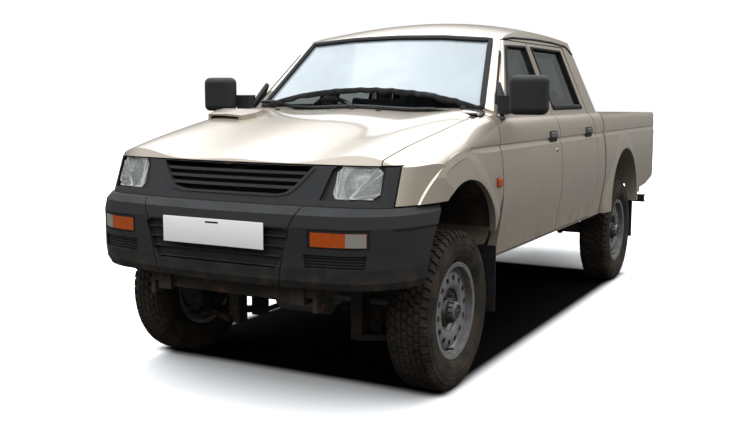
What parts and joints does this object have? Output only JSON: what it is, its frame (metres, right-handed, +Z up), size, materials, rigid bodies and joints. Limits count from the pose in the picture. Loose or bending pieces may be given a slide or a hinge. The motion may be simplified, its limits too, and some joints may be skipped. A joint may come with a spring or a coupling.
{
  "type": "pickup truck",
  "caption": "Double-cab pickup truck with a ladder frame, open cargo bed, opening doors, bonnet and tailgate, turning steering wheel and freely rolling road wheels.",
  "frame": {"origin": "on the ground, at the middle of the overall length and width", "axes": "+X towards the truck's left side, -Y towards its front, +Z up"},
  "size_m": [2.05, 4.9348, 1.7799],
  "materials": {
    "body_paint": "metallic gloss",
    "black_plastic": "grained",
    "cabin_plastic": "satin",
    "flap_rubber": "matt",
    "chassis_paint": "satin black",
    "cast_metal": "as cast",
    "bare_steel": "dull",
    "window_glass": "clear",
    "lamp_glass": "fluted",
    "amber_lens": "ribbed",
    "red_lens": "ribbed",
    "seat_fabric": "woven",
    "tyre_rubber": "worn",
    "wheel_steel": "silver paint"
  },
  "bodies": {
    "body": {"front_wings": "body_paint", "cab_shell": "body_paint", "cargo_bed": "body_paint", "front_bumper": "black_plastic", "front_panel": "black_plastic", "dashboard": "cabin_plastic", "mud_flaps": "flap_rubber", "chassis_frame": "chassis_paint", "front_structure": "chassis_paint", "rear_beam": "chassis_paint", "front_suspension": "chassis_paint", "rear_axle": "chassis_paint", "leaf_springs": "chassis_paint", "fuel_tank": "chassis_paint", "engine_and_gearbox": "cast_metal", "front_differential": "cast_metal", "propeller_shafts": "bare_steel", "exhaust": "bare_steel", "rear_dampers": "bare_steel", "fixed_glass": "window_glass", "headlamps": "lamp_glass", "indicators": "amber_lens", "tail_lamps": "red_lens", "front_seats": "seat_fabric", "rear_seat": "seat_fabric"},
    "bonnet": {"bonnet": "body_paint"},
    "tailgate": {"tailgate": "body_paint"},
    "steering_wheel": {"steering_wheel": "cabin_plastic"},
    "steering_link": {"steering_link": "bare_steel"},
    "left_knuckle": {"left_knuckle": "cast_metal"},
    "right_knuckle": {"right_knuckle": "cast_metal"},
    "front_left_door": {"front_left_door": "body_paint", "front_left_window": "window_glass", "left_mirror": "black_plastic"},
    "rear_left_door": {"rear_left_door": "body_paint", "rear_left_window": "window_glass"},
    "front_left_wheel": {"front_left_tyre": "tyre_rubber", "front_left_wheel": "wheel_steel"},
    "rear_left_wheel": {"rear_left_tyre": "tyre_rubber", "rear_left_wheel": "wheel_steel"},
    "front_right_door": {"front_right_door": "body_paint", "front_right_window": "window_glass", "right_mirror": "black_plastic"},
    "rear_right_door": {"rear_right_door": "body_paint", "rear_right_window": "window_glass"},
    "front_right_wheel": {"front_right_tyre": "tyre_rubber", "front_right_wheel": "wheel_steel"},
    "rear_right_wheel": {"rear_right_tyre": "tyre_rubber", "rear_right_wheel": "wheel_steel"}
  },
  "joints": [
    {"name": "left_steer", "type": "hinge", "parent": "body", "child": "left_knuckle", "pos_m": [0.6, -1.7225, 0.365], "axis": [0, 0, 1], "range_deg": [-30, 30]},
    {"name": "front_left_wheel_spin", "type": "hinge", "parent": "left_knuckle", "child": "front_left_wheel", "pos_m": [0.71, -1.7225, 0.365], "axis": [1, 0, 0], "continuous": true},
    {"name": "rear_left_wheel_spin", "type": "hinge", "parent": "body", "child": "rear_left_wheel", "pos_m": [0.7175, 1.2325, 0.365], "axis": [1, 0, 0], "continuous": true},
    {"name": "front_left_door_hinge", "type": "hinge", "parent": "body", "child": "front_left_door", "pos_m": [0.836, -1.2555, 0.9], "axis": [0, 0, -1], "range_deg": [0, 65]},
    {"name": "rear_left_door_hinge", "type": "hinge", "parent": "body", "child": "rear_left_door", "pos_m": [0.836, -0.2755, 0.9], "axis": [0, 0, -1], "range_deg": [0, 65]},
    {"name": "right_steer", "type": "hinge", "parent": "body", "child": "right_knuckle", "pos_m": [-0.6, -1.7225, 0.365], "axis": [0, 0, 1], "range_deg": [-30, 30]},
    {"name": "front_right_wheel_spin", "type": "hinge", "parent": "right_knuckle", "child": "front_right_wheel", "pos_m": [-0.71, -1.7225, 0.365], "axis": [1, 0, 0], "continuous": true},
    {"name": "rear_right_wheel_spin", "type": "hinge", "parent": "body", "child": "rear_right_wheel", "pos_m": [-0.7175, 1.2325, 0.365], "axis": [1, 0, 0], "continuous": true},
    {"name": "front_right_door_hinge", "type": "hinge", "parent": "body", "child": "front_right_door", "pos_m": [-0.836, -1.2555, 0.9], "axis": [0, 0, 1], "range_deg": [0, 65]},
    {"name": "rear_right_door_hinge", "type": "hinge", "parent": "body", "child": "rear_right_door", "pos_m": [-0.836, -0.2755, 0.9], "axis": [0, 0, 1], "range_deg": [0, 65]},
    {"name": "bonnet_hinge", "type": "hinge", "parent": "body", "child": "bonnet", "pos_m": [0, -1.3295, 1.255], "axis": [-1, 0, 0], "range_deg": [0, 50]},
    {"name": "tailgate_hinge", "type": "hinge", "parent": "body", "child": "tailgate", "pos_m": [0, 2.3075, 0.722], "axis": [-1, 0, 0], "range_deg": [0, 90]},
    {"name": "steering_wheel_turn", "type": "hinge", "parent": "body", "child": "steering_wheel", "pos_m": [-0.36, -0.8025, 1.15], "axis": [0, 0.8829, 0.4695], "range_deg": [-480, 480]},
    {"name": "steering_link_slide", "type": "slide", "parent": "body", "child": "steering_link", "axis": [1, 0, 0], "range_m": [-0.0812, 0.0812]}
  ],
  "couplings": [
    {"joint": "right_steer", "follows": "left_steer", "ratio": 1},
    {"joint": "steering_wheel_turn", "follows": "left_steer", "ratio": 16},
    {"joint": "steering_link_slide", "follows": "left_steer", "m_per_rad": -0.155}
  ]
}
